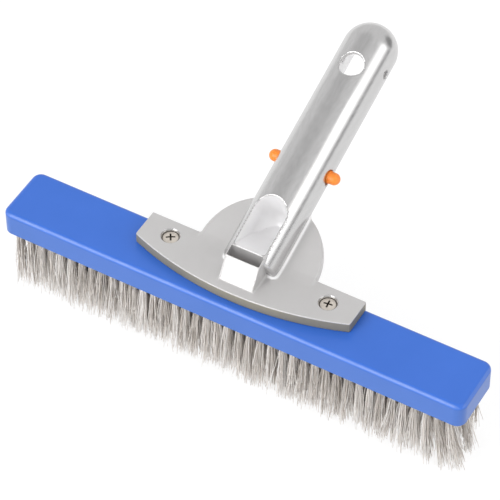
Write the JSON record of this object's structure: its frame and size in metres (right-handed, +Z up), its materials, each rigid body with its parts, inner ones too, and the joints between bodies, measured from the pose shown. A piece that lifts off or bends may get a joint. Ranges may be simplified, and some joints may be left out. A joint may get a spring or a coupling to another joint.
{
  "type": "pool wall brush",
  "caption": "Pool wall brush: wire tufts in a straight moulded back, with a cast tilted pole tang held by screws and a two-button snap clip.",
  "frame": {"origin": "centre of the trimmed bristle tips, on the surface that is brushed", "axes": "+X along the brush (right as seen from in front), +Y to the rear, the way the tang leans, +Z up from the tips to the back"},
  "size_m": [0.254, 0.1564, 0.1154],
  "materials": {
    "back_plastic": "semi-gloss moulded blue plastic",
    "cast_aluminium": "polished tang, satin plate",
    "screw_steel": "plain stainless",
    "bristle_wire": "drawn stainless wire",
    "anchor_steel": "flat wire",
    "spring_steel": "rolled strip",
    "button_plastic": "moulded orange plastic"
  },
  "bodies": {
    "brush": {"brush_back": "back_plastic", "handle_plate": "cast_aluminium", "pole_tang": "cast_aluminium", "mounting_screws": "screw_steel", "bristles_row_1": "bristle_wire", "bristles_row_2": "bristle_wire", "bristles_row_3": "bristle_wire", "bristles_row_4": "bristle_wire", "bristles_row_5": "bristle_wire", "anchors_row_1": "anchor_steel", "anchors_row_2": "anchor_steel", "anchors_row_3": "anchor_steel", "anchors_row_4": "anchor_steel", "anchors_row_5": "anchor_steel", "spring_bend": "spring_steel"},
    "clip_left": {"spring_leg_left": "spring_steel", "button_left": "button_plastic"},
    "clip_right": {"spring_leg_right": "spring_steel", "button_right": "button_plastic"}
  },
  "joints": [
    {"name": "button_left_press", "type": "hinge", "parent": "brush", "child": "clip_left", "pos_m": [-0.0065, 0.09641, 0.09071], "axis": [0, -0.342, 0.9397], "range_deg": [0, 8.1], "stiffness_Nm_per_rad": 1.5},
    {"name": "button_right_press", "type": "hinge", "parent": "brush", "child": "clip_right", "pos_m": [0.0065, 0.09641, 0.09071], "axis": [0, 0.342, -0.9397], "range_deg": [0, 8.1], "stiffness_Nm_per_rad": 1.5}
  ]
}
